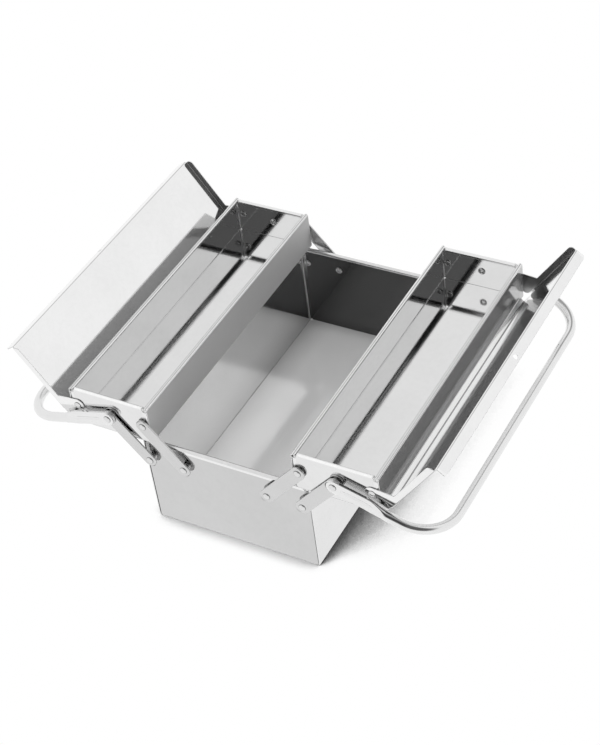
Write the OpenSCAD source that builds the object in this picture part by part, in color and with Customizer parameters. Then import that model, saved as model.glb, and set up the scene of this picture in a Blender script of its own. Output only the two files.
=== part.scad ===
// Cantilever tool box of folded sheet steel, shown with both trays swung out and both lids open.
// X runs across the box, Y along it, Z is up. The origin is the middle of the base's underside.

/* [Base] */
// Width of the base over its long sides
base_w = 200; // [180:1:240]
// Length of the base over its end panels
base_l = 357; // [300:1:460]
// Height of the base to the top of its rim
base_h = 115.5; // [100:0.5:150]

/* [Trays] */
// Height of each tray
tray_h = 47; // [42:0.5:60]
// Gap between the two trays when they are folded in
tray_centre_gap = 3; // [2:0.5:6]
// How far each end of a tray stands out past the base
tray_end_over = 2; // [1:0.25:4]

/* [Sheet] */
// Thickness of the sheet
sheet_t = 1; // [0.8:0.05:1.2]
// Inside radius of every fold
fold_r = 1; // [0.6:0.1:1.6]
// Air inside a rolled rim
hem_gap = 0.6; // [0.4:0.1:1.2]
// How far a rolled rim turns down on the inside
hem_drop = 6; // [4:0.5:9]

/* [Arms] */
// Sideways reach of an arm from its base pin to its tray pin
arm_reach = 42; // [38:0.5:44]
// Rise of an arm from its base pin to its tray pin
arm_rise = 48.5; // [44:0.5:52]
// Width of an arm
arm_w = 16; // [12:0.5:18]
// Thickness of an arm
arm_t = 2; // [1.5:0.1:3]
// Free space between a tray's end panel and the arms
arm_standoff = 1.5; // [1.5:0.1:3]

/* [Pins] */
// Radius of every rivet shank
pin_r = 2.5; // [2:0.1:3]
// Radius of a rivet's round head
head_r = 4.2; // [3.6:0.1:4.8]
// Height of a rivet's round head
head_h = 1.8; // [1.2:0.1:2.4]
// Inset of a tray's inner pin from the tray's inner wall
tray_pin_inset = 7; // [6:0.5:9]
// Inset of the outer base pin from the base's long side
base_pin_inset = 7.5; // [7:0.5:10]
// Drop of the base pins below the base's rim
base_pin_drop = 24.5; // [20:0.5:30]

/* [Lids] */
// Opening angle of a lid from lying flat over its tray
lid_open = 125.5; // [112:0.5:126]
// Inset of the lid pin from the tray's outer wall
lid_pin_inset = 8.5; // [7.5:0.5:9.5]
// Drop of the lid pin below the tray's rim
lid_pin_drop = 21.8; // [20.4:0.1:24]
// Height of the lid's standing edge, with the padlock hole, over the lid panel
lid_edge_h = 11.5; // [9:0.5:14]
// Width of the turned-down ends of a lid
lid_end_w = 8; // [6:0.5:9]
// Radius of the ear round a lid pin
ear_r = 8; // [6.5:0.5:9]
// Radius of the padlock hole
lock_hole_r = 2.9; // [2:0.1:3.5]

/* [Handles] */
// Distance from a handle's pins to the middle of its bar
handle_reach = 121; // [112:1:135]
// Droop of an opened handle below level
handle_droop = 15.5; // [5:0.5:22]
// Radius of the handle tube
handle_tube_r = 5.25; // [4.5:0.25:6]
// Wall of the handle tube
handle_wall = 1.2; // [1:0.1:2]
// Radius of the handle's two bends, to the middle of the tube
handle_bend_r = 44; // [25:1:55]
// Length of a flattened handle end from its pin
strap_l = 45; // [45:1:50]
// Width of a flattened handle end
strap_w = 17; // [14:0.5:19]
// Thickness of a flattened handle end
strap_t = 3.4; // [2.6:0.1:4]

/* [Hidden] */
// Clearance of a pin in its holes
pin_gap = 0.05;
// Clearance of the open linkage pivot at each outer arm
open_pivot_gap = 0.3;
// Gap between faces that slide past each other at a pin
run_gap = 0.15;
// Gap under and between parts that only rest on each other
seat_gap = 0.3;
// Extra gap between a closing lid and the corner of its tray
lid_swing_gap = 0.6;
// Gap between a lid's hinge skirt and the tray's outer wall
lid_side_gap = 1;
// Length of the corner reliefs at both ends of a lid's hinge skirt
lid_relief = 12;
// Where the end fold of a lid starts, past the lid pin
lid_end_start = 3;
// Where the narrow part of a lid's end starts, past the lid pin
ear_end = 19;
// How far inside the ear's circle the straight sides of a lid's end run
ear_blend = 0.1;
// Radius of the rounded free end of a lid's turned-down ends
lid_tip_r = 5;
// Radius of the rounded corners of a lid's standing edge
lid_edge_r = 3;
// Height of the middle of the padlock hole over the lid panel
lock_hole_h = 6;
// Head height of the lid pins, which pass under the handles
lid_head_h = 1.4;
// Height of the rivet tails on the inside, and their gap from an end panel's side fold
tail_h = 1.5;
tail_gap = 0.2;
// Radius of the spacers under the arms
spacer_r = 5;
// Length of the end panels' side flanges
end_flange = 12;
// Side gap of the end panels' upper part beside a long wall's rolled rim
notch_gap = 0.3;
// Extra length by which the rolled rim of an end panel stops short
notch_l = 1.6;
// Length over which a flattened handle end turns into the tube
taper_l = 15;
// Step of the tube outwards from its flattened ends
tube_step = 2.5;
// Radius and depth of the crease along a flattened handle end
crease_r = 3;
crease_depth = 0.6;
// Overrun of cuts past the faces that they open
cut = 1;
// Thickness of the thin end slices of a blended length
slice = 0.2;

// Outside radius of a fold, and half the width of a rolled rim
fold_out = fold_r + sheet_t;
hem_out = sheet_t + hem_gap / 2;
// Top of the lower, full-width part of an end panel, below the rim
hem_low = hem_out + hem_drop + notch_gap;
// Radius of the rivet tails, which the nearest side fold of a tray's end panel sets
tail_r = tray_pin_inset - 2 * sheet_t - fold_r - tail_gap;

tray_w = (base_w - tray_centre_gap) / 2;
tray_l = base_l + 2 * tray_end_over;
tray_z = base_h + seat_gap;
tray_x = tray_centre_gap / 2 + 2 * arm_reach;
tray_top = tray_z + tray_h;

// Pin places, given for the right side
base_pin_z = base_h - base_pin_drop;
tray_pin_z = base_pin_z + arm_rise;
inner_base_x = tray_centre_gap / 2 + tray_pin_inset + arm_reach;
outer_base_x = base_w / 2 - base_pin_inset;
inner_tray_x = inner_base_x + arm_reach;
outer_tray_x = outer_base_x + arm_reach;
lid_pin_x = tray_x + tray_w - lid_pin_inset;
lid_pin_z = tray_top - lid_pin_drop;

// Distances from the middle of the box out to each layer at its ends
base_end = base_l / 2;
tray_end = tray_l / 2;
arm_in = tray_end + arm_standoff;
arm_out = arm_in + arm_t;
ear_in = tray_end + seat_gap;
ear_out = ear_in + sheet_t;
strap_in = arm_out + seat_gap;
strap_out = strap_in + strap_t;
tube_y = (strap_in + strap_out) / 2 + tube_step;

// Lid panel's outer face over the lid pin, and its two long edges from the pin
lid_rise = norm([lid_pin_inset, lid_pin_drop]) + lid_swing_gap + sheet_t;
lid_front = tray_w - lid_pin_inset;
lid_back = lid_pin_inset + lid_side_gap + sheet_t;
// The skirt is as long as lets it stop against the tray's outer wall
skirt_reach = (lid_pin_inset + seat_gap - lid_back * cos(lid_open)) / sin(lid_open);
skirt_w = lid_rise - skirt_reach;
lid_end_low = lid_rise - lid_end_w;

steel = [0.78, 0.79, 0.8];
steel_lid = [0.86, 0.87, 0.88];
steel_arm = [0.62, 0.66, 0.7];
steel_pin = [0.5, 0.5, 0.52];
steel_tube = [0.7, 0.74, 0.8];

// Extrudes a drawing of X and Z along Y, centred
module along_y(length) {
    rotate([90, 0, 0])
        linear_extrude(height = length, center = true)
            children();
}

// Extrudes a drawing of Y and Z along X, centred
module along_x(length) {
    rotate([90, 0, 90])
        linear_extrude(height = length, center = true)
            children();
}

// Draws its children on the front end and mirrored on the rear end
module both_ends() {
    children();
    mirror([0, 1, 0])
        children();
}

// Quarter of a folded sheet, with its centre at the origin, in the quadrant of positive X and Y
module fold_section() {
    difference() {
        intersection() {
            circle(r = fold_out);
            square([fold_out, fold_out]);
        }
        circle(r = fold_r);
    }
}

// Section of a rolled rim on a wall whose outer face is at zero; it rolls towards negative X, top at zero
module hem_section() {
    translate([-hem_out, -hem_out])
        difference() {
            intersection() {
                circle(r = hem_out);
                translate([-hem_out, 0])
                    square([2 * hem_out, hem_out]);
            }
            circle(r = hem_gap / 2);
        }
    translate([-2 * hem_out, -hem_out - hem_drop])
        square([sheet_t, hem_drop]);
}

// Half of the section of a folded trough, from its middle to its right rim
module half_trough_section(w, h) {
    square([w / 2 - fold_out, sheet_t]);
    translate([w / 2 - fold_out, fold_out])
        mirror([0, 1])
            fold_section();
    translate([w / 2 - sheet_t, fold_out])
        square([sheet_t, h - fold_out - hem_out]);
    translate([w / 2, h])
        hem_section();
}

// Folded trough: floor and both long walls with rolled rims
module trough(w, l, h) {
    along_y(l) {
        half_trough_section(w, h);
        mirror([1, 0])
            half_trough_section(w, h);
    }
}

// Plan of an end panel with its two side flanges, outer face at zero
module end_plan(w) {
    side = w / 2 - sheet_t;
    translate([-(side - fold_out), 0])
        square([2 * (side - fold_out), sheet_t]);
    for (m = [0, 1])
        mirror([m, 0]) {
            translate([side - fold_out, fold_out])
                mirror([0, 1])
                    fold_section();
            translate([side - sheet_t, fold_out])
                square([sheet_t, end_flange - fold_out]);
        }
}

// End panel that stands on the trough's floor, outer face at zero and facing negative Y
module end_panel(w, h) {
    upper_w = w - 4 * hem_out - 2 * notch_gap;
    foot_w = w - 2 * (sheet_t + fold_out);
    translate([-foot_w / 2, 0, sheet_t])
        cube([foot_w, sheet_t, fold_out - sheet_t]);
    translate([0, 0, fold_out])
        linear_extrude(height = h - hem_low - fold_out)
            end_plan(w);
    translate([-upper_w / 2, 0, h - hem_low])
        cube([upper_w, sheet_t, hem_low - hem_out]);
    translate([0, 0, h])
        along_x(upper_w - 2 * notch_l)
            mirror([1, 0])
                hem_section();
}

// Hole for a rivet through the front end's sheets, for cutting
module end_hole(x, z, r, from, to) {
    translate([x, -from + cut, z])
        rotate([90, 0, 0])
            cylinder(r = r, h = to - from + 2 * cut);
}

// Round rivet head that stands on the plane of zero
module dome(r, h) {
    ball = (r * r + h * h) / (2 * h);
    rotate_extrude()
        intersection() {
            translate([0, h - ball])
                circle(r = ball);
            square([r, h]);
        }
}

// Rivet at the front end: shank between two depths, head outside and tail inside
module rivet(x, z, from, to, height) {
    translate([x, -from, z])
        rotate([90, 0, 0])
            cylinder(r = pin_r, h = to - from);
    translate([x, -to, z])
        rotate([90, 0, 0])
            dome(head_r, height);
    translate([x, -from, z])
        rotate([-90, 0, 0])
            dome(tail_r, tail_h);
}

// Spacer at the front end between two depths
module spacer(x, z, from, to) {
    difference() {
        translate([x, -from, z])
            rotate([90, 0, 0])
                cylinder(r = spacer_r, h = to - from);
        end_hole(x, z, pin_r + pin_gap, from, to);
    }
}

// Flat arm at the front end, from its base pin to its tray pin
module arm(base_x, tray_hole_r) {
    tilt = atan2(arm_rise, arm_reach);
    span = norm([arm_reach, arm_rise]);
    difference() {
        translate([base_x, -(arm_in + arm_out) / 2, base_pin_z])
            rotate([0, -tilt, 0])
                along_y(arm_t) {
                    circle(r = arm_w / 2);
                    translate([span, 0])
                        circle(r = arm_w / 2);
                    translate([0, -arm_w / 2])
                        square([span, arm_w]);
                }
        end_hole(base_x, base_pin_z, pin_r + pin_gap, arm_in, arm_out);
        end_hole(base_x + arm_reach, tray_pin_z, tray_hole_r, arm_in, arm_out);
    }
}

module base_wrap() {
    color(steel)
        trough(base_w, base_l, base_h);
}

module base_panel() {
    difference() {
        translate([0, -base_end, 0])
            end_panel(base_w, base_h);
        for (x = [-outer_base_x, -inner_base_x, inner_base_x, outer_base_x])
            end_hole(x, base_pin_z, pin_r + pin_gap, base_end - sheet_t, base_end);
    }
}

module base_front_panel() {
    color(steel)
        base_panel();
}

module base_rear_panel() {
    color(steel)
        mirror([0, 1, 0])
            base_panel();
}

module base_rivets() {
    color(steel_pin)
        both_ends()
            for (x = [-outer_base_x, -inner_base_x, inner_base_x, outer_base_x])
                rivet(x, base_pin_z, base_end - sheet_t, arm_out + run_gap, head_h);
}

module base_spacers() {
    color(steel_pin)
        both_ends()
            for (x = [-outer_base_x, -inner_base_x, inner_base_x, outer_base_x])
                spacer(x, base_pin_z, base_end, arm_in - run_gap);
}

module inner_arm() {
    color(steel_arm)
        arm(inner_base_x, pin_r + pin_gap);
}

module outer_arm() {
    color(steel_arm)
        arm(outer_base_x, pin_r + open_pivot_gap);
}

module tray_wrap() {
    color(steel)
        translate([tray_x + tray_w / 2, 0, tray_z])
            trough(tray_w, tray_l, tray_h);
}

module tray_panel() {
    color(steel)
        difference() {
            translate([tray_x + tray_w / 2, -tray_end, tray_z])
                end_panel(tray_w, tray_h);
            for (x = [inner_tray_x, outer_tray_x])
                end_hole(x, tray_pin_z, pin_r + pin_gap, tray_end - sheet_t, tray_end);
            end_hole(lid_pin_x, lid_pin_z, pin_r + pin_gap, tray_end - sheet_t, tray_end);
        }
}

module tray_inner_rivets() {
    color(steel_pin)
        both_ends()
            rivet(inner_tray_x, tray_pin_z, tray_end - sheet_t, arm_out + run_gap, head_h);
}

module tray_outer_rivets() {
    color(steel_pin)
        both_ends()
            rivet(outer_tray_x, tray_pin_z, tray_end - sheet_t, strap_out + run_gap, head_h);
}

module tray_lid_rivets() {
    color(steel_pin)
        both_ends()
            rivet(lid_pin_x, lid_pin_z, tray_end - sheet_t, ear_out + run_gap, lid_head_h);
}

module tray_spacers() {
    color(steel_pin)
        both_ends()
            for (x = [inner_tray_x, outer_tray_x])
                spacer(x, tray_pin_z, tray_end, arm_in - run_gap);
}

// Tangent point just inside the ear's circle for a line from a point; side is 1 or -1
function ear_tangent(p, side) =
    let (r = ear_r - ear_blend, a = atan2(p[1], p[0]) + side * acos(r / norm(p)))
        [r * cos(a), r * sin(a)];

// Turned-down end of a lid, drawn from the pin: X towards the lid's free edge, Y up to the panel
module lid_end_section() {
    top = lid_rise - fold_out;
    front = lid_front - fold_out;
    knee = [ear_end, lid_end_low];
    heel = [lid_end_start, top];
    polygon([
        [0, 0],
        ear_tangent(knee, -1),
        knee,
        [front - lid_tip_r, lid_end_low],
        [front - lid_tip_r, lid_end_low + lid_tip_r],
        [front, lid_end_low + lid_tip_r],
        [front, top],
        heel,
        ear_tangent(heel, 1)
    ]);
    circle(r = ear_r);
    translate([front - lid_tip_r, lid_end_low + lid_tip_r])
        intersection() {
            circle(r = lid_tip_r);
            translate([0, -lid_tip_r])
                square([lid_tip_r, lid_tip_r]);
        }
}

// Long section of a lid from its pin: panel, hinge skirt and fold, drawn like the end
module lid_skirt_section() {
    translate([-lid_back + fold_out, lid_rise - sheet_t])
        square([lid_back - fold_out + lid_end_start, sheet_t]);
    translate([-lid_back + fold_out, lid_rise - fold_out])
        mirror([1, 0])
            fold_section();
    translate([-lid_back, lid_rise - skirt_w])
        square([sheet_t, skirt_w - fold_out]);
    // Lap inside the sheet, which joins the straight skirt to its fold
    translate([-lid_back + sheet_t / 4, lid_rise - fold_out - slice])
        square([sheet_t / 2, 2 * slice]);
}

// Fold between a lid's panel and its standing edge, with the straight foot of the edge
module lid_edge_section() {
    translate([lid_front - fold_out, lid_rise + fold_r])
        mirror([0, 1])
            fold_section();
}

// Right lid as it lies flat over its tray, with its pin at the origin; free edge towards negative X
module flat_lid() {
    edge_foot = lid_rise + fold_r;
    edge_top = lid_rise + lid_edge_h;
    mirror([1, 0, 0])
        difference() {
            union() {
                translate([lid_end_start, -(ear_out - fold_out), lid_rise - sheet_t])
                    cube([lid_front - fold_out - lid_end_start, 2 * (ear_out - fold_out), sheet_t]);
                along_y(2 * (ear_out - lid_relief))
                    lid_skirt_section();
                along_y(2 * (ear_out - fold_out))
                    lid_edge_section();
                translate([lid_front - sheet_t / 2, 0, 0])
                    along_x(sheet_t)
                        lid_edge_plate(edge_foot, edge_top);
                both_ends() {
                    translate([0, -(ear_in + ear_out) / 2, 0])
                        along_y(sheet_t)
                            lid_end_section();
                    translate([lid_end_start, -(ear_out - fold_out), lid_rise - fold_out])
                        rotate([90, 0, 90])
                            linear_extrude(height = lid_front - fold_out - lid_end_start)
                                mirror([1, 0])
                                    fold_section();
                }
            }
            both_ends()
                end_hole(0, 0, pin_r + pin_gap, ear_in, ear_out);
            translate([lid_front - sheet_t - cut, 0, lid_rise + lock_hole_h])
                rotate([0, 90, 0])
                    cylinder(r = lock_hole_r, h = sheet_t + 2 * cut);
        }
}

// Standing edge of a lid seen from its free side, with rounded upper corners
module lid_edge_plate(foot, top) {
    half = ear_out - fold_out;
    translate([-half, foot])
        square([2 * half, top - foot - lid_edge_r]);
    translate([-half + lid_edge_r, top - lid_edge_r])
        square([2 * (half - lid_edge_r), lid_edge_r]);
    for (m = [0, 1])
        mirror([m, 0])
            translate([half - lid_edge_r, top - lid_edge_r])
                intersection() {
                    circle(r = lid_edge_r);
                    square([lid_edge_r, lid_edge_r]);
                }
}

module lid() {
    color(steel_lid)
        translate([lid_pin_x, 0, lid_pin_z])
            rotate([0, lid_open, 0])
                flat_lid();
}

// Straight length of tube along X, hollow
module tube_x(from, to) {
    translate([from, 0, 0])
        rotate([0, 90, 0])
            tube_body(to - from);
}

// Hollow tube that stands on the origin
module tube_body(length) {
    difference() {
        cylinder(r = handle_tube_r, h = length);
        translate([0, 0, -cut])
            cylinder(r = handle_tube_r - handle_wall, h = length + 2 * cut);
    }
}

// One leg of a level handle, its pin at the origin of X and Z, on the front end
module handle_leg() {
    taper_end = strap_l + taper_l;
    bend_x = handle_reach - handle_bend_r;
    strap_mid = (strap_in + strap_out) / 2;
    difference() {
        translate([0, -strap_mid, 0])
            along_y(strap_t) {
                circle(r = strap_w / 2);
                translate([0, -strap_w / 2])
                    square([strap_l, strap_w]);
            }
        end_hole(0, 0, pin_r + pin_gap, strap_in, strap_out);
        translate([head_r + crease_r, -(strap_out + crease_r - crease_depth), 0])
            rotate([0, 90, 0])
                cylinder(r = crease_r, h = strap_l - head_r - 2 * crease_r);
    }
    hull() {
        translate([strap_l, -strap_out, -strap_w / 2])
            cube([slice, strap_t, strap_w]);
        translate([taper_end - slice, -tube_y, 0])
            rotate([0, 90, 0])
                cylinder(r = handle_tube_r, h = slice, $fn = 48);
    }
    translate([0, -tube_y, 0])
        tube_x(taper_end, bend_x);
    translate([bend_x, -(tube_y - handle_bend_r), 0])
        mirror([0, 1, 0])
            rotate_extrude(angle = 90)
                translate([handle_bend_r, 0])
                    difference() {
                        circle(r = handle_tube_r);
                        circle(r = handle_tube_r - handle_wall);
                    }
}

module handle() {
    bar_l = 2 * (tube_y - handle_bend_r);
    color(steel_tube)
        translate([outer_tray_x, 0, tray_pin_z])
            rotate([0, handle_droop, 0]) {
                both_ends()
                    handle_leg();
                translate([handle_reach, bar_l / 2, 0])
                    rotate([90, 0, 0])
                        tube_body(bar_l);
            }
}

// Rear and left copies
module rear() {
    mirror([0, 1, 0])
        children();
}

module left() {
    mirror([1, 0, 0])
        children();
}

base_wrap();
base_front_panel();
base_rear_panel();
base_rivets();
base_spacers();
left() inner_arm();  // left_inner_arm_front
left() rear() inner_arm();  // left_inner_arm_rear
left() outer_arm();  // left_outer_arm_front
left() rear() outer_arm();  // left_outer_arm_rear
left() tray_wrap();  // left_tray_wrap
left() tray_panel();  // left_tray_front_panel
left() rear() tray_panel();  // left_tray_rear_panel
left() tray_inner_rivets();  // left_tray_inner_rivets
left() tray_outer_rivets();  // left_tray_outer_rivets
left() tray_lid_rivets();  // left_tray_lid_rivets
left() tray_spacers();  // left_tray_spacers
left() lid();  // left_lid
left() handle();  // left_handle
inner_arm();  // right_inner_arm_front
rear() inner_arm();  // right_inner_arm_rear
outer_arm();  // right_outer_arm_front
rear() outer_arm();  // right_outer_arm_rear
tray_wrap();  // right_tray_wrap
tray_panel();  // right_tray_front_panel
rear() tray_panel();  // right_tray_rear_panel
tray_inner_rivets();  // right_tray_inner_rivets
tray_outer_rivets();  // right_tray_outer_rivets
tray_lid_rivets();  // right_tray_lid_rivets
tray_spacers();  // right_tray_spacers
lid();  // right_lid
handle();  // right_handle
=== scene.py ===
"""Looks of a cantilever tool box of bright folded steel sheet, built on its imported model.

Sizes in the classes are millimetres, and the meshes are metres. X runs across the box, Y along
it and Z is up. Every piece is worked out for the right side or the front end and mirrored.
"""

from __future__ import annotations

import logging
import math
from collections.abc import Callable
from dataclasses import dataclass, replace
from enum import Enum

import bpy
import numpy as np
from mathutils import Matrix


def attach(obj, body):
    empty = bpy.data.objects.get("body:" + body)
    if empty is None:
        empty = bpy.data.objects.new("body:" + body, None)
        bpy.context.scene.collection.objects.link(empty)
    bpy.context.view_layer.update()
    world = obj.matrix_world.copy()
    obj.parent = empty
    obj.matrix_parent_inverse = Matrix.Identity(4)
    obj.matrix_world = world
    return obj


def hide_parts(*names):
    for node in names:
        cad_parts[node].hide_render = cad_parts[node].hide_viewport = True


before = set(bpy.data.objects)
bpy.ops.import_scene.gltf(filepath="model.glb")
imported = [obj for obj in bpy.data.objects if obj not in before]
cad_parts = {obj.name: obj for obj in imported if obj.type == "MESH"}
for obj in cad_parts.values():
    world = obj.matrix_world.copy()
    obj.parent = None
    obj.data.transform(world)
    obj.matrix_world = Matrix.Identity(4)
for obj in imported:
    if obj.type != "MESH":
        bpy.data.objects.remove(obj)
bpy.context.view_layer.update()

Array = np.ndarray
Socket = bpy.types.NodeSocket
Slots = dict[int | str, object]
FlatGrid = tuple[np.ndarray, np.ndarray | None]
LOG = logging.getLogger("tool_box")
MM = 0.001  # a millimetre in metres
WELD = 0.001  # points that agree to this are one
OFF_ROUND = 0.00031  # moves round sizes off the limits of the welding's steps
NIL = 1e-9  # less counts as nothing
HAIR = 1e-6  # room for rounding errors where places are compared
ACROSS, ALONG, UP = np.eye(3)
TO_FRONT = np.array([ACROSS, UP, -ALONG])


class Side(Enum):
    """The two halves of the box, with the sign of X on each."""

    LEFT = -1
    RIGHT = 1

    @property
    def word(self) -> str:
        """The half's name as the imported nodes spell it."""
        return self.name.lower()

    def of(self, right: Surface) -> Surface:
        """What was worked out for the right side, mirrored where this is the left."""
        return right if self is Side.RIGHT else right.mirrored(0)


class End(Enum):
    """The two ends of the box, with the sign of Y on each."""

    FRONT = -1
    REAR = 1

    @property
    def word(self) -> str:
        """The end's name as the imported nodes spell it."""
        return self.name.lower()

    def of(self, front: Surface) -> Surface:
        """What was worked out for the front end, mirrored where this is the rear."""
        return front if self is End.FRONT else front.mirrored(1)


@dataclass
class Surface:
    """A skin of points and faces.

    Args:
        points: Places of the points, n by 3, in millimetres.
        faces: Four point numbers a face, m by 4; a triangle repeats one of them.
        normals: Outward unit normals at each face's corners, m by 4 by 3.
        wear_and_shade: How near each point is to a cut edge, from 0 to 1; on a rivet, where shade is
            painted instead.
    """

    points: Array
    faces: Array
    normals: Array
    wear_and_shade: Array

    def mirrored(self, axis: int) -> Surface:
        """Returns the surface reflected in the plane through the origin across an axis."""
        flip = np.ones(3)
        flip[axis] = -1
        return Surface(self.points * flip, self.faces[:, ::-1], self.normals[:, ::-1] * flip, self.wear_and_shade)

    def moved(self, offset: tuple[float, float, float]) -> Surface:
        """Returns the surface shifted by an offset."""
        return replace(self, points=self.points + np.array(offset))

    def mapped(self, origin: Array, axes: Array) -> Surface:
        """Returns the surface set into the frame whose three unit axes are the rows of axes."""
        faces, normals = self.faces, self.normals @ axes
        if np.linalg.det(axes) < 0:
            faces, normals = faces[:, ::-1], normals[:, ::-1]
        return Surface(origin + self.points @ axes, faces, normals, self.wear_and_shade)


def joined(parts: list[Surface]) -> Surface:
    """Puts surfaces into one, point numbers shifted on by what came before."""
    starts = np.cumsum([0] + [len(p.points) for p in parts[:-1]])
    return Surface(
        np.concatenate([p.points for p in parts]),
        np.concatenate([p.faces + s for p, s in zip(parts, starts)]),
        np.concatenate([p.normals for p in parts]),
        np.concatenate([p.wear_and_shade for p in parts]),
    )


def unit(vectors: Array) -> Array:
    """Scales vectors along the last axis to length 1, leaving zeros alone."""
    size = np.linalg.norm(vectors, axis=-1, keepdims=True)
    return vectors / np.where(size < NIL**2, 1, size)


def grid_of(*coordinates: Array | float) -> Array:
    """Spreads coordinates over their common grid and puts them together as its points."""
    return np.stack(np.broadcast_arrays(*coordinates), axis=-1)


def swung(degrees: float) -> Array:
    """The three axes turned about the box's length, the first one upwards."""
    a = math.radians(degrees)
    return np.array([[math.cos(a), 0, math.sin(a)], [0, 1.0, 0], [-math.sin(a), 0, math.cos(a)]])


def eased(values: Array, low: float, high: float) -> Array:
    """Goes from 0 at low to 1 at high, level at both ends: 3 s^2 - 2 s^3 of the share s."""
    share = np.clip((values - low) / (high - low), 0, 1)
    return share * share * (3 - 2 * share)


def welded_numbers(points: Array) -> tuple[Array, Array]:
    """Finds points that coincide to a thousandth of a millimetre.

    A small shift first takes round sizes away from where rounding would part them.

    Returns:
        The number of one point of each group, and each point's group.
    """
    key = np.round((points + OFF_ROUND) / WELD).astype(np.int64)
    _, first, group = np.unique(key, axis=0, return_index=True, return_inverse=True)
    return first, group.ravel()


def grid_faces(rows: int, columns: int, wrap_rows: bool = False, wrap_columns: bool = False) -> Array:
    """Numbers the cells of a grid whose points are stored row by row."""
    i = np.arange(rows if wrap_rows else rows - 1)[:, None]
    j = np.arange(columns if wrap_columns else columns - 1)[None, :]
    a, b = i * columns, (i + 1) % rows * columns
    k = (j + 1) % columns
    return np.stack([a + j, b + j, b + k, a + k], axis=-1).reshape(-1, 4)


def grid_surface(points: Array, wrap_rows: bool = False, wrap_columns: bool = False) -> Surface:
    """Makes a smooth skin of a grid of points, n by m by 3.

    The normal at a point is the cross product of the grid's two differences there, and the
    whole skin is turned so that the space it encloses has positive volume.
    """
    rows, columns = points.shape[:2]

    def slope(axis: int, wrap: bool) -> Array:
        """Differences along one way of the grid, from the next point to the one before."""
        if wrap:
            return np.roll(points, -1, axis) - np.roll(points, 1, axis)
        return np.gradient(points, axis=axis)

    normal = np.cross(slope(0, wrap_rows), slope(1, wrap_columns))
    for row in (0, -1):
        if not wrap_rows and np.ptp(points[row], axis=0).max() < NIL:
            inward = 1 if row == 0 else -2
            normal[row] = unit(normal[inward].mean(axis=0)) + 0 * normal[row]
    normal = unit(normal).reshape(-1, 3)
    flat = points.reshape(-1, 3)
    faces = grid_faces(rows, columns, wrap_rows, wrap_columns)
    corners = flat[faces]
    centre = flat.mean(axis=0)
    area = np.cross(corners[:, 2] - corners[:, 0], corners[:, 3] - corners[:, 1]) / 2
    agrees = np.einsum("ij,ij->i", area, normal[faces].mean(axis=1)) >= 0
    faces = np.where(agrees[:, None], faces, faces[:, ::-1])
    area = np.where(agrees[:, None], area, -area)
    if np.einsum("ij,ij->", area, corners.mean(axis=1) - centre) < 0:
        faces, normal = faces[:, ::-1], -normal
    return Surface(flat, faces, normal[faces], np.zeros(len(flat)))


@dataclass
class Patch:
    """A piece of a sheet's middle face.

    Args:
        points: Grid of places, n by m by 3.
        normals: Unit normals of the sheet's outer side there, n by m by 3.
        cells: Which cells of the grid exist, n - 1 by m - 1; all of them where left out.
        polish: How much each point was rubbed bright, n by m; not at all where left out.
    """

    points: Array
    normals: Array
    cells: Array | None = None
    polish: Array | None = None

    def at_other_end(self) -> Patch:
        """Returns the patch reflected to the other end of the box."""
        flip = np.array([1.0, -1, 1])
        return replace(self, points=self.points * flip, normals=self.normals * flip)


GENTLE_CORNER = math.radians(25)
SHARPEST_CORNER = 0.25


@dataclass(frozen=True)
class SheetEdge:
    """How a cut edge of sheet or bar is finished.

    Args:
        radius: Radius of its rounding.
        steps: Flats in a quarter of the rounding.
        open_at: A test on points that leaves an edge unclosed where all of it passes.
    """

    radius: float = 0.3
    steps: int = 2
    open_at: Callable[[Array], Array] | None = None


def middle_face(patches: list[Patch]) -> tuple[Array, Array, Array, Array]:
    """Welds the grids of a sheet's middle face and turns its faces to the outer side.

    Returns:
        Points, their normals, how much they were rubbed, and faces of four point numbers.
    """
    points = np.concatenate([p.points.reshape(-1, 3) for p in patches])
    normals = np.concatenate([p.normals.reshape(-1, 3) for p in patches])
    rubbed = np.concatenate([
        np.zeros(p.points[..., 0].size) if p.polish is None else p.polish.ravel() for p in patches
    ])
    starts = np.cumsum([0] + [p.points[..., 0].size for p in patches[:-1]])
    faces = []
    for patch, start in zip(patches, starts):
        cells = grid_faces(*patch.points.shape[:2])
        kept = np.ones(len(cells), bool) if patch.cells is None else patch.cells.ravel()
        faces.append(cells[kept] + start)
    first, group = welded_numbers(points)
    faces = group[np.concatenate(faces)]
    sums = np.zeros((len(first), 3))
    np.add.at(sums, group, normals)
    points, normals, rubbed = points[first], unit(sums), rubbed[first]
    used = np.unique(faces)
    number = np.full(len(points), -1)
    number[used] = np.arange(len(used))
    points, normals, rubbed, faces = points[used], normals[used], rubbed[used], number[faces]

    corners = points[faces]
    area = np.cross(corners[:, 2] - corners[:, 0], corners[:, 3] - corners[:, 1])
    solid = np.linalg.norm(area, axis=1) > NIL
    faces, area = faces[solid], area[solid]
    wrong = np.einsum("ij,ij->i", area, normals[faces].mean(axis=1)) < 0
    faces[wrong] = faces[wrong][:, ::-1]
    return points, normals, rubbed, faces


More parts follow.
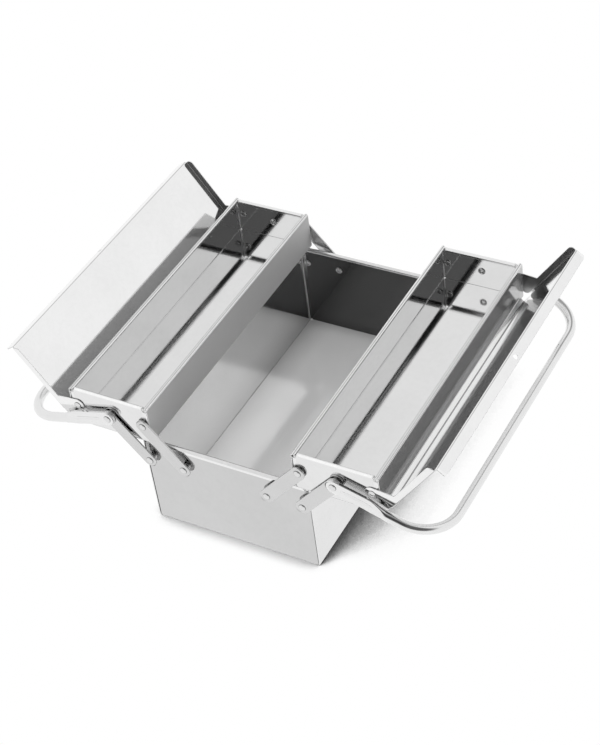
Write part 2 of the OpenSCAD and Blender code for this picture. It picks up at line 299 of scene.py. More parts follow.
def cut_edges(points: Array, normals: Array, faces: Array, edge: SheetEdge) -> tuple[Array, ...]:
    """Finds the edges of a middle face where the sheet was cut: those that only one face has.

    Returns:
        First and last point of each edge, its outward direction, and for every point the way
        in which it is drawn back, longer at a corner, where two edges' directions are averaged.
        SHARPEST_CORNER, the least square of that average, keeps it from growing without end.
    """
    tail, head = faces.ravel(), np.roll(faces, -1, axis=1).ravel()
    real = tail != head
    tail, head = tail[real], head[real]
    lone = ~np.isin(head * len(points) + tail, tail * len(points) + head)
    tail, head = tail[lone], head[lone]
    if edge.open_at is not None:
        closed = ~(edge.open_at(points[tail]) & edge.open_at(points[head]))
        tail, head = tail[closed], head[closed]
    out = unit(np.cross(unit(points[head] - points[tail]), (normals[tail] + normals[head]) / 2))
    total, count = np.zeros_like(points), np.zeros(len(points))
    for ends in (tail, head):
        np.add.at(total, ends, out)
        np.add.at(count, ends, 1)
    mean = total / np.maximum(count, 1)[:, None]
    size = np.maximum(np.einsum("ij,ij->i", mean, mean), SHARPEST_CORNER)
    return tail, head, out, mean / size[:, None]


def thick_sheet(patches: list[Patch], thickness: float, edge: SheetEdge = SheetEdge()) -> Surface:
    """Gives a middle face its thickness and rounds its cut edges.

    Each point goes half the thickness out and in along its normal. Along a cut edge both are
    drawn back by the rounding's radius, and a rounded strip between them runs out to the edge:
    at an angle a it lies radius times (cos a - 1) along the edge's own outward direction.

    Args:
        patches: Grids that share points where the sheet runs on from one to the next.
        thickness: Thickness of the sheet.
        edge: Finish of its cut edges.
    """
    points, normals, rubbed, faces = middle_face(patches)
    tail, head, out, draw = cut_edges(points, normals, faces, edge)
    half, radius = thickness / 2, min(edge.radius, thickness / 2)
    quarter = np.linspace(0, math.pi / 2, edge.steps + 1)
    angles = np.concatenate([quarter[::-1], -quarter[1:]])
    rise = np.sign(angles) * (half - radius) + radius * np.sin(angles)
    rise[edge.steps] = half - radius
    if half > radius:
        angles = np.insert(angles, edge.steps + 1, 0.0)
        rise = np.insert(rise, edge.steps + 1, radius - half)
    inset = radius * (1 - np.cos(angles))
    ring = points - draw * inset[:, None, None] + normals * rise[:, None, None]
    n, layers = len(points), len(angles)
    border = np.unique(np.concatenate([tail, head]))
    place = np.full(n, -1)
    place[border] = np.arange(len(border))
    base = 2 * n + np.arange(layers - 2)[:, None] * len(border)
    number = np.concatenate([np.arange(n)[None], base + place, n + np.arange(n)[None]])
    upper, lower = number[:-1], number[1:]
    side = np.stack([upper[:, head], upper[:, tail], lower[:, tail], lower[:, head]], axis=-1)

    def leaning(ends: Array) -> Array:
        """Normals of the strip at one end of each edge: outward, turned up by the rounding's angle.

        Outward is the averaged direction there, or the edge's own where they differ by a corner.
        """
        shared = unit(draw[ends])
        gentle = np.einsum("ij,ij->i", out, shared) > math.cos(GENTLE_CORNER)
        outward = np.where(gentle[:, None], shared, out)
        return outward * np.cos(angles)[:, None, None] + normals[ends] * np.sin(angles)[:, None, None]

    tails, heads = leaning(tail), leaning(head)
    side_normals = np.stack([heads[:-1], tails[:-1], tails[1:], heads[1:]], axis=-2)
    worn = rubbed.astype(float)
    worn[border] = 1
    return Surface(
        np.concatenate([ring[0], ring[-1], ring[1:-1, border].reshape(-1, 3)]),
        np.concatenate([faces, faces[:, ::-1] + n, side.reshape(-1, 4)]),
        np.concatenate([normals[faces], -normals[faces[:, ::-1]], side_normals.reshape(-1, 4, 3)]),
        np.concatenate([worn, worn, np.ones((layers - 2) * len(border))]),
    )


@dataclass(frozen=True)
class Straight:
    """A straight run of a folded sheet's section."""

    length: float


@dataclass(frozen=True)
class Bend:
    """A bend of a folded sheet's section, radius to the middle of the sheet, left turns positive."""

    radius: float
    turn: float
    steps: int = 8


def straights(marks: Array) -> list[Straight]:
    """Straight runs from each mark along a line to the next."""
    return [Straight(float(d)) for d in np.diff(marks)]


def fold_path(
    start: tuple[float, float], heading: float, runs: list[Straight | Bend], outer: int = -1
) -> tuple[Array, Array]:
    """Walks along the middle line of a folded sheet's section.

    A straight adds its end point. A bend adds points at its centre plus its radius times the
    cosine and sine of the angle turned so far.

    Args:
        start: First point.
        heading: First direction, in degrees from the first axis.
        runs: Straights and bends, in order.
        outer: Side of the sheet's outer face, -1 to the right of the walk and 1 to the left.

    Returns:
        Points and outward normals, n by 2 each.
    """
    point, angle = np.array(start, float), math.radians(heading)
    points, angles = [point[None]], [np.array([angle])]
    for run in runs:
        if isinstance(run, Straight):
            point = point + run.length * np.array([math.cos(angle), math.sin(angle)])
            points.append(point[None])
            angles.append(np.array([angle]))
            continue
        sign = math.copysign(1, run.turn)
        centre = point + sign * run.radius * np.array([-math.sin(angle), math.cos(angle)])
        turned = angle + math.radians(run.turn) * np.arange(1, run.steps + 1) / run.steps
        arc = centre + sign * run.radius * grid_of(np.sin(turned), -np.cos(turned))
        points.append(arc)
        angles.append(turned)
        point, angle = arc[-1], turned[-1]
    directions = np.concatenate(angles)
    normals = outer * grid_of(-np.sin(directions), np.cos(directions))
    return np.concatenate(points), normals


def both_ways(half: Array) -> Array:
    """Adds a path's image across its second axis in front of it, so that it runs from end to end."""
    return np.concatenate([half[::-1] * [-1, 1], half])


EDGE_LINE = 0.9


@dataclass(frozen=True)
class Hole:
    """A round hole in a flat plate: its middle, its radius and the square of cells it takes up."""

    across: float
    up: float
    radius: float
    reach: float = 3.0
    steps: int = 8

    def stations(self) -> Array:
        """Grid lines across the square, from its middle."""
        return np.linspace(-self.reach, self.reach, self.steps + 1)

    def ring(self) -> Array:
        """Points of the square's rim and, inside them, of the hole's rim, 2 by n by 2.

        A point of the hole's rim lies at the angle of the square's point outside it.
        """
        line, side = self.stations()[:-1], self.reach
        runs = ((line, -side), (side, line), (-line, side), (-side, -line))
        rim = np.concatenate([grid_of(*run) for run in runs] + [[(-side, -side)]])
        return np.stack([rim, unit(rim) * self.radius]) + [self.across, self.up]


def plate(columns: Array, low: Array, high: Array, holes: list[Hole]) -> list[FlatGrid]:
    """Divides a flat plate with holes into grids.

    Every column has the same number of rows between its low and high end. At a hole they lie
    on the hole's own grid lines, and elsewhere at the same shares of the column as at the hole
    nearest to it. A line of the grid runs EDGE_LINE inside each long edge, where the wear ends.

    Args:
        columns: Places of the grid's columns, rising.
        low: Lower end of each column.
        high: Upper end of each column.
        holes: Round holes, all with the same reach and steps.

    Returns:
        Pairs of points, n by m by 2, and the cells that exist.
    """
    middles = np.array([h.across for h in holes])
    nearest = np.abs(columns[:, None] - middles[None]).argmin(axis=1)
    reach = holes[0].reach
    clamped = np.clip(columns, middles[nearest] - reach, middles[nearest] + reach)
    levels = np.array([h.up for h in holes])[nearest][:, None] + holes[0].stations()[None]
    low_there, high_there = np.interp(clamped, columns, low), np.interp(clamped, columns, high)
    share = (levels - low_there[:, None]) / (high_there - low_there)[:, None]
    inside = (np.abs(columns - clamped) < NIL)[:, None]
    rows = np.where(inside, levels, low[:, None] + (high - low)[:, None] * share)
    line = np.minimum(EDGE_LINE, np.minimum(rows[:, 0] - low, high - rows[:, -1]) / 2)
    rows = np.concatenate([
        low[:, None], (low + line)[:, None], rows, (high - line)[:, None], high[:, None],
    ], axis=1)
    points = grid_of(columns[:, None], rows)
    middle = (columns[:-1] + columns[1:]) / 2
    taken = (np.abs(middle[:, None] - middles[None]) < reach).any(axis=1)
    cells = np.ones((len(columns) - 1, rows.shape[1] - 1), bool)
    cells[taken, 2:-2] = False
    return [(points, cells)] + [(h.ring(), None) for h in holes]


def stood_up(grids: list[FlatGrid], origin: Array, across: Array, up: Array, outward: Array) -> list[Patch]:
    """Sets flat grids into space: origin plus the first value across plus the second up."""
    placed = [(origin + points[..., :1] * across + points[..., 1:] * up, cells) for points, cells in grids]
    return [Patch(points, np.broadcast_to(outward, points.shape), cells) for points, cells in placed]


def lathe(profile: Array, steps: int = 32) -> Surface:
    """Turns a profile of radius and height about Z; its ends lie on the axis or meet.

    A point of the surface is radius times the cosine and sine of the turn, and the height.
    """
    turn = np.linspace(0, 2 * math.pi, steps, endpoint=False)
    radius, height = profile[:, :1], profile[:, 1:]
    points = grid_of(radius * np.cos(turn), radius * np.sin(turn), height)
    meets = bool(np.abs(profile[0] - profile[-1]).max() < NIL)
    return grid_surface(points[:-1] if meets else points, wrap_rows=meets, wrap_columns=True)


@dataclass(frozen=True)
class Value:
    """A number socket of a shader, with arithmetic that adds Math nodes."""

    nodes: Nodes
    socket: Socket

    def _math(self, operation: str, a: Value | float, b: Value | float) -> Value:
        """Adds one Math node."""
        return self.nodes.value("ShaderNodeMath", {"operation": operation}, {0: a, 1: b})

    def __add__(self, other: Value | float) -> Value:
        """Sum."""
        return self._math("ADD", self, other)

    __radd__ = __add__

    def __sub__(self, other: Value | float) -> Value:
        """Difference."""
        return self._math("SUBTRACT", self, other)

    def __rsub__(self, other: Value | float) -> Value:
        """Difference the other way round, so that 1 - mask works."""
        return self._math("SUBTRACT", other, self)

    def __mul__(self, other: Value | float) -> Value:
        """Product."""
        return self._math("MULTIPLY", self, other)

    __rmul__ = __mul__

    def between(self, low: float, high: float, to_low: float = 0.0, to_high: float = 1.0) -> Value:
        """Eases from to_low to to_high while the value goes from low to high."""
        ends = {0: self, 1: low, 2: high, 3: to_low, 4: to_high}
        return self.nodes.value("ShaderNodeMapRange", {"interpolation_type": "SMOOTHSTEP"}, ends)


@dataclass(frozen=True)
class Nodes:
    """The nodes of one material or world."""

    tree: bpy.types.NodeTree

    def add(self, kind: str, settings: dict[str, object], inputs: Slots) -> bpy.types.Node:
        """Adds a node.

        Args:
            kind: Type of the node.
            settings: Its properties, set first.
            inputs: Values or links for its sockets, by name or number.
        """
        node = self.tree.nodes.new(kind)
        for name, value in settings.items():
            setattr(node, name, value)
        for name, value in inputs.items():
            if isinstance(value, Value):
                value = value.socket
            if isinstance(value, Socket):
                self.tree.links.new(value, node.inputs[name])
            else:
                node.inputs[name].default_value = value
        return node

    def value(self, kind: str, settings: dict[str, object], inputs: Slots, output: int | str = 0) -> Value:
        """Adds a node and returns one of its outputs for arithmetic."""
        return Value(self, self.add(kind, settings, inputs).outputs[output])

    def noise(self, where: Socket, scale: float, detail: float, roughness: float) -> Value:
        """Noise of a given scale, from about 0.3 to 0.7."""
        inputs = {"Vector": where, "Scale": scale, "Detail": detail, "Roughness": roughness}
        return self.value("ShaderNodeTexNoise", {}, inputs, "Fac")

    def stretched(self, where: Socket, scale: tuple[float, float, float]) -> Socket:
        """Coordinates scaled by an amount for each axis."""
        return self.add("ShaderNodeMapping", {}, {"Vector": where, "Scale": scale}).outputs[0]

    def blend(self, share: Value | float, a: object, b: object) -> Socket:
        """Mixes two colours by a share of the second."""
        node = self.add("ShaderNodeMix", {"data_type": "RGBA"}, {0: share, 6: a, 7: b})
        return node.outputs[2]


def grey(tone: float) -> tuple[float, float, float, float]:
    """The plain grey of a tone, opaque."""
    return tone, tone, tone, 1.0


class Grain(Enum):
    """Which way a sheet's faint rolling grain runs, as a stretch of the noise along each axis."""

    LENGTHWISE = (1.0, 0.012, 1.0)
    ACROSS = (0.012, 1.0, 1.0)
    NONE = (1.0, 1.0, 1.0)


ZONE_FADE = 0.0004


@dataclass(frozen=True)
class Zone:
    """A face of a sheet with a finish of its own; on some faces it lays painted shade and painted light
    instead.

    Args:
        axis: Axis that it lies across, 0 for X, 1 for Y and 2 for Z.
        near: Distance from the box's middle at which it begins, in metres.
        far: Distance at which it ends.
        tint: Its grey, which on the faces of painted shade and painted light is that painted tone.
        metal: How metallic it is, which is less where the finish is blasted matt.
        roughness: Its roughness.
    """

    axis: int
    near: float
    far: float
    tint: float
    metal: float
    roughness: float


@dataclass(frozen=True)
class SteelFinish:
    """A polish of bright stainless steel.

    Args:
        name: Name of the material.
        tint: Grey of its reflections.
        roughness: Its usual roughness.
        haze: Extra roughness in its dull patches.
        grain: Way its grain runs.
        grain_depth: Depth of the grain, in metres.
        ripple: Height of the sheet's slow waves, in metres.
        edge_tone: How much paler than the tint a worn edge is; below 1 it darkens the marked points
            instead, which on the rivets is painted shade.
        zones: Faces with a finish of their own.
    """

    name: str
    tint: float
    roughness: float
    haze: float = 0.05
    grain: Grain = Grain.NONE
    grain_depth: float = 0.000002
    ripple: float = 0.00005
    edge_tone: float = 1.12
    zones: tuple[Zone, ...] = ()

    def material(self) -> bpy.types.Material:
        """Builds the material, or returns it if it was built before."""
        found = bpy.data.materials.get(self.name)
        if found is not None:
            return found
        made = bpy.data.materials.new(self.name)
        made.use_nodes = True
        made.node_tree.nodes.clear()
        nodes = Nodes(made.node_tree)
        where = nodes.add("ShaderNodeTexCoord", {}, {}).outputs["Object"]
        grained = nodes.stretched(where, self.grain.value)
        cloud = nodes.noise(where, scale=14.0, detail=3.0, roughness=0.55).between(0.35, 0.7)
        fine = nodes.noise(where, scale=160.0, detail=4.0, roughness=0.6)
        lines = nodes.noise(grained, scale=2200.0, detail=2.0, roughness=0.5)
        drawn = nodes.stretched(where, (1.0, 0.2, 0.6))
        scuffs = nodes.noise(drawn, scale=420.0, detail=3.0, roughness=0.7).between(0.62, 0.74)
        worn = nodes.value("ShaderNodeAttribute", {"attribute_name": "edge_wear"}, {}, "Fac")
        cut = worn.between(0.93, 1.0)
        worn = worn.between(0.55, 1.0) * fine.between(0.3, 0.6, 0.75, 1.0)
        bright, dark = grey(min(1.0, self.tint * 1.03)), grey(self.tint * 0.955)
        base = nodes.blend(cloud * 0.4 + fine.between(0.4, 0.65) * 0.2, bright, dark)
        base = nodes.blend(scuffs * 0.2, base, dark)
        metal: Value | float = 1.0
        duller: Value | float = 0.0
        # Zones give some faces a finish of their own, and others painted shade and painted light.
        for zone in self.zones:
            place = nodes.value("ShaderNodeSeparateXYZ", {}, {0: where}, zone.axis)
            away = nodes.value("ShaderNodeMath", {"operation": "ABSOLUTE"}, {0: place})
            begins = away.between(zone.near - ZONE_FADE, zone.near)
            inside = begins * away.between(zone.far, zone.far + ZONE_FADE, 1.0, 0.0)
            metal = metal - inside * (1 - zone.metal)
            duller = inside * (zone.roughness - self.roughness) + duller
            own = nodes.blend(cloud * 0.6 + scuffs * 0.4, grey(zone.tint), grey(zone.tint * 0.95))
            base = nodes.blend(inside, base, own)
        # Worn edges turn paler; where edge_tone is below 1, as on the rivets, the marked points turn dark:
        # painted shade.
        colour = nodes.blend(worn * 0.85, base, grey(min(0.97, self.tint * self.edge_tone)))
        rough = self.roughness + cloud * self.haze + lines.between(0.45, 0.62) * (0.3 * self.haze)
        rough = rough + scuffs * 0.05 + worn * 0.1 + cut * 0.2 + duller
        waves = nodes.noise(where, scale=7.0, detail=1.0, roughness=0.4)
        slow = nodes.add("ShaderNodeBump", {}, {"Strength": 1.0, "Distance": self.ripple, "Height": waves})
        relief = lines * 0.7 + fine * 0.3 - scuffs * 0.25
        bumps = {"Strength": 1.0, "Distance": self.grain_depth, "Height": relief, "Normal": slow.outputs[0]}
        skin = nodes.add("ShaderNodeBump", {}, bumps).outputs[0]
        inputs = {"Base Color": colour, "Metallic": metal, "Roughness": rough, "Normal": skin}
        shader = nodes.add("ShaderNodeBsdfPrincipled", {}, inputs)
        nodes.add("ShaderNodeOutputMaterial", {}, {"Surface": shader.outputs[0]})
        return made


@dataclass(frozen=True)
class Piece:
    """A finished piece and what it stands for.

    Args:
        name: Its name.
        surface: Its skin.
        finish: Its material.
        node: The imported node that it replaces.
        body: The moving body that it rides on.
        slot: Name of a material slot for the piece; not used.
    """

    name: str
    surface: Surface
    finish: SteelFinish
    node: str
    body: str
    slot: str

    def build(self) -> bpy.types.Object:
        """Makes the mesh object, hangs it on its body and hides the imported node that it stands for."""
        skin = self.surface
        faces = skin.faces
        kept = np.ones(faces.shape, bool)
        kept[:, 1:] = faces[:, 1:] != faces[:, :-1]
        kept[:, 0] = faces[:, 0] != faces[:, -1]
        kept &= (kept.sum(axis=1) > 2)[:, None]
        rows = kept.any(axis=1)
        kept, faces, normals = kept[rows], faces[rows], skin.normals[rows]
        sizes = kept.sum(axis=1)
        mesh = bpy.data.meshes.new(self.name)
        mesh.vertices.add(len(skin.points))
        mesh.vertices.foreach_set("co", (skin.points * MM).astype(np.float32).ravel())
        mesh.loops.add(int(sizes.sum()))
        mesh.loops.foreach_set("vertex_index", faces[kept].astype(np.int32))
        mesh.polygons.add(len(faces))
        mesh.polygons.foreach_set("loop_start", (np.cumsum(sizes) - sizes).astype(np.int32))
        worn = mesh.attributes.new("edge_wear", "FLOAT", "POINT")
        worn.data.foreach_set("value", skin.wear_and_shade.astype(np.float32))
        mesh.update(calc_edges=True)
        mesh.shade_smooth()
        mesh.normals_split_custom_set(unit(normals[kept]).tolist())
        mesh.materials.append(self.finish.material())
        made = bpy.data.objects.new(self.name, mesh)
        bpy.context.scene.collection.objects.link(made)
        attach(made, self.body)
        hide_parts(self.node)
        LOG.info("%s: %d faces, rides on %s, stands for %s", self.name, len(faces), self.body, self.node)
        return made


@dataclass(frozen=True)
class Sheet:
    """The sheet that the whole box is folded from, and its rolled rims."""

    thickness: float = 1.0
    fold: float = 1.0
    rim_air: float = 3.2
    rim_drop: float = 1.6
    rim_polish: float = 0.9
    line: float = 3.0

    @property
    def mid_fold(self) -> float:
        """Radius of a fold to the middle of the sheet."""
        return self.fold + self.thickness / 2

    @property
    def fold_out(self) -> float:
        """Outside radius of a fold."""
        return self.fold + self.thickness

    @property
    def rim_half(self) -> float:
        """Half the width of a rolled rim."""
        return self.thickness + self.rim_air / 2

    def rim(self, turn: float) -> list[Straight | Bend]:
        """Runs of a rolled rim, which turns over and down."""
        return [Bend(self.rim_half - self.thickness / 2, turn, 12), Straight(self.rim_drop)]

    def polished(self, points: Array, height: float) -> Array:
        """How much each point of a wall was rubbed: its rolled rim up to a given height, by hands."""
        return (points[..., 2] > height - self.rim_half + HAIR) * self.rim_polish


def end_lines(length: float, line: float) -> Array:
    """Grid lines along a length: its two ends, a line in from each for the wear, and the middle."""
    half = length / 2
    return np.array([-half, line - half, -half / 2, 0, half / 2, half - line, half])


@dataclass(frozen=True)
class Trough:
    """A floor and two long walls folded from one sheet, with rolled rims.

    Args:
        width: Width over the walls.
        length: Length over the ends.
        height: Height to the top of the rims.
        centre: Place of the middle of the underside.
    """

    width: float
    length: float
    height: float
    centre: tuple[float, float, float]
    sheet: Sheet = Sheet()

    def surface(self) -> Surface:
        """Carries the section, floor, fold, wall and rolled rim and its mirror image, along Y."""
        s = self.sheet
        runs = [
            Straight(self.width / 2 - s.fold_out), Bend(s.mid_fold, 90),
            Straight(s.line), Straight(self.height - s.fold_out - s.rim_half - s.line), *s.rim(180),
        ]
        path, normal = (both_ways(half[1:]) for half in fold_path((0, s.thickness / 2), 0, runs))
        along = end_lines(self.length, s.line)
        points = grid_of(path[:, :1], along, path[:, 1:])
        normals = grid_of(normal[:, :1], np.zeros(len(along)), normal[:, 1:])
        patch = Patch(points, normals, polish=s.polished(points, self.height))
        return thick_sheet([patch], s.thickness).moved(self.centre)


@dataclass(frozen=True)
class EndPanel:
    """An end wall with two side flanges and its own rolled rim, for the front end.

    Args:
        width: Width of the trough that it closes.
        height: Height of that trough.
        depth: Distance of its outer face from the box's middle.
        centre: Place in X and Z of the middle of the trough's underside.
    """

    width: float
    height: float
    depth: float
    centre: tuple[float, float]
    flange: float = 3.2
    side_gap: float = 0.3
    notch: float = 0.9
    sheet: Sheet = Sheet()

    def surface(self) -> Surface:
        """Carries the plan, flange, fold, wall, fold and flange, up and over into the rolled rim.

        A point takes its place across from the plan and its height from the upright section,
        and what the section leans inwards is added to the plan's depth.
        """
        s = self.sheet
        flat = self.width / 2 - s.thickness - s.fold_out
        upper = self.width / 2 - 2 * s.rim_half - self.side_gap
        rimmed = upper - self.notch
        step = s.rim_half + s.rim_drop + self.side_gap
        front = -self.depth + s.thickness / 2
        marks = np.array([0, rimmed - s.line, rimmed, upper, flat])
        runs = [*straights(marks), Bend(s.mid_fold, 90), Straight(self.flange - s.fold_out)]
        plan, plan_normal = (both_ways(half[1:]) for half in fold_path((0, front), 0, runs))
        low_marks = [s.thickness, s.fold_out, s.fold_out + s.line]
        high_marks = [self.height - step, self.height - s.rim_half]
        rows = [*straights(np.array(low_marks + high_marks)), *s.rim(-180)]
        upright, lie = fold_path((front, s.thickness), 90, rows, outer=1)
        points = grid_of(plan[:, :1], plan[:, 1:] + upright[:, 0] - front, upright[:, 1])
        normals = grid_of(plan_normal[:, :1], -plan_normal[:, 1:] * lie[:, 0], lie[:, 1])
        middle = np.abs(plan[:-1, 0] + plan[1:, 0]) / 2
        straight = np.abs(plan[:-1, 1] - plan[1:, 1]) < NIL
        reach = np.full(len(upright) - 1, rimmed)
        reach[0], reach[1:3], reach[3] = flat, np.inf, upper
        cells = (middle[:, None] < reach) & (straight[:, None] | np.isinf(reach))
        whole = thick_sheet([Patch(points, normals, cells, s.polished(points, self.height))], s.thickness)
        return whole.moved((self.centre[0], 0, self.centre[1]))


@dataclass(frozen=True)
class Rivet:
    """A round-headed rivet along the box's length, for the front end.

    Args:
        across: Its place in X.
        up: Its place in Z.
        inside: Depth of the inner sheet's face from the box's middle.
        outside: Depth of the face under its head.
        head_height: Height of its head.
        dish: Radius and depth of points on the floor of the dimple in its tail.
        seams: How far the painted shade reaches at the head's foot, the tail's foot and the dimple.
    """

    across: float
    up: float
    inside: float
    outside: float
    head_height: float = 1.8
    head: float = 4.2
    shank: float = 2.5
    tail: float = 4.3
    dimple: float = 2.1
    dish: tuple[tuple[float, float], ...] = ((0.0, 0.25), (1.0, 0.2), (2.0, 0.12))
    tail_height: float = 1.5
    lip: float = 0.1
    fillet: float = 0.05
    head_rim: float = 0.06
    seams: tuple[float, float, float] = (0.5, 0.25, 0.3)

    def surface(self) -> Surface:
        """Turns the profile, rolled tail with its dimple, shank and domed head, about the pin.

        The head is a cap of the ball whose radius is (head^2 + height^2) / (2 height). Its foot,
        the tail's foot and the dimple's rim carry painted shade, stored like wear, which a rivet's
        finish turns dark.
        """
        ball = (self.head**2 + self.head_height**2) / (2 * self.head_height)
        angle = np.linspace(math.asin(self.head / ball), 0, 10)
        cap = grid_of(ball * np.sin(angle), self.outside + self.head_height - ball * (1 - np.cos(angle)))
        roll = np.linspace(math.pi, 0, 9)
        middle, round_half = (self.tail + self.dimple) / 2, (self.tail - self.dimple) / 2
        tail = grid_of(middle + round_half * np.cos(roll), self.inside - self.tail_height * np.sin(roll))
        profile = np.concatenate([
            [(radius, self.inside - depth) for radius, depth in self.dish],
            tail[1:-1],
            [(self.tail, self.inside - self.lip), (self.tail - self.lip, self.inside)],
            [(self.shank + self.fillet, self.inside), (self.shank, self.inside + self.fillet)],
            [(self.shank, self.outside - self.fillet), (self.shank + self.fillet, self.outside)],
            [(self.head - 2 * self.head_rim, self.outside), (self.head, self.outside + self.head_rim)],
            cap[1:],
        ])
        made = lathe(profile)
        away, level = np.hypot(made.points[:, 0], made.points[:, 1]), made.points[:, 2]
        at_head, at_tail, at_dimple = self.seams
        # Painted shade: the head's foot, the tail's foot and the dimple's rim are marked to be drawn dark,
        # in the place of the shadow in the gaps and the hollow.
        dark = (away > self.head - at_head) & (level > self.outside - HAIR)
        dark |= (away > self.tail - at_tail) & (level < self.inside + HAIR)
        dark |= (np.abs(away - self.dimple) < at_dimple) & (level < self.inside - HAIR)
        return replace(made, wear_and_shade=dark * 1.0).mapped(np.array([self.across, 0, self.up]), TO_FRONT)


@dataclass(frozen=True)
class Spacer:
    """A turned ring between an end panel and the arms, for the front end."""

    across: float
    up: float
    inside: float
    outside: float
    radius: float = 5.0
    bore: float = 2.55
    chamfer: float = 0.2
    line: float = 0.1

    def surface(self) -> Surface:
        """Turns a rectangle with small chamfers about the pin.

        Each side keeps two points, at a share of its length from its ends, so that the corners
        between them are rounded.
        """
        c, r, b, i, o = self.chamfer, self.radius, self.bore, self.inside, self.outside
        low = [(b, i + c), (b + c, i), (r - c, i), (r, i + c)]
        high = [(r, o - c), (r - c, o), (b + c, o), (b, o - c)]
        corners = np.array([*low, *high, low[0]])
        shares = np.array([self.line, 1 - self.line])[None, :, None]
        fine = (corners[:-1, None] * (1 - shares) + corners[1:, None] * shares).reshape(-1, 2)
        return lathe(np.concatenate([fine, fine[:1]])).mapped(np.array([self.across, 0, self.up]), TO_FRONT)


def round_end(radius: float, reach: float, steps: int = 7) -> Array:
    """Grid lines from the tip of a round end to reach short of its middle, closer at the tip."""
    angle = np.linspace(0, math.acos(reach / radius), steps)
    return -radius * np.cos(angle)


@dataclass(frozen=True)
class Arm:
    """A flat arm with two round ends and a hole in each, on the right side of the front end.

    Args:
        base_x: Place in X of its lower pin.
        tray_hole: Radius of its upper hole.
    """

    base_x: float
    tray_hole: float
    base_z: float = 91.0
    reach: float = 42.0
    rise: float = 48.5
    width: float = 16.0
    thickness: float = 2.0
    depth: float = 183.0
    hole: float = 2.55

    def surface(self) -> Surface:
        """Divides the outline, two half circles and their tangents, into a plate with two holes."""
        span, half = math.hypot(self.reach, self.rise), self.width / 2
        holes = [Hole(0, 0, self.hole), Hole(span, 0, self.tray_hole)]
        near = np.concatenate([round_end(half, holes[0].reach)[:-1], holes[0].stations(), [half]])
        columns = np.concatenate([near, [span / 2], (span - near)[::-1]])
        beyond = np.maximum(0, np.maximum(-columns, columns - span))
        edge = np.sqrt(np.maximum(0, half**2 - beyond**2))
        across = np.array([self.reach, 0, self.rise]) / span
        up = np.array([-self.rise, 0, self.reach]) / span
        origin = np.array([self.base_x, -self.depth, self.base_z])
        patches = stood_up(plate(columns, -edge, edge, holes), origin, across, up, -ALONG)
        return thick_sheet(patches, self.thickness, SheetEdge(radius=0.55, steps=3))


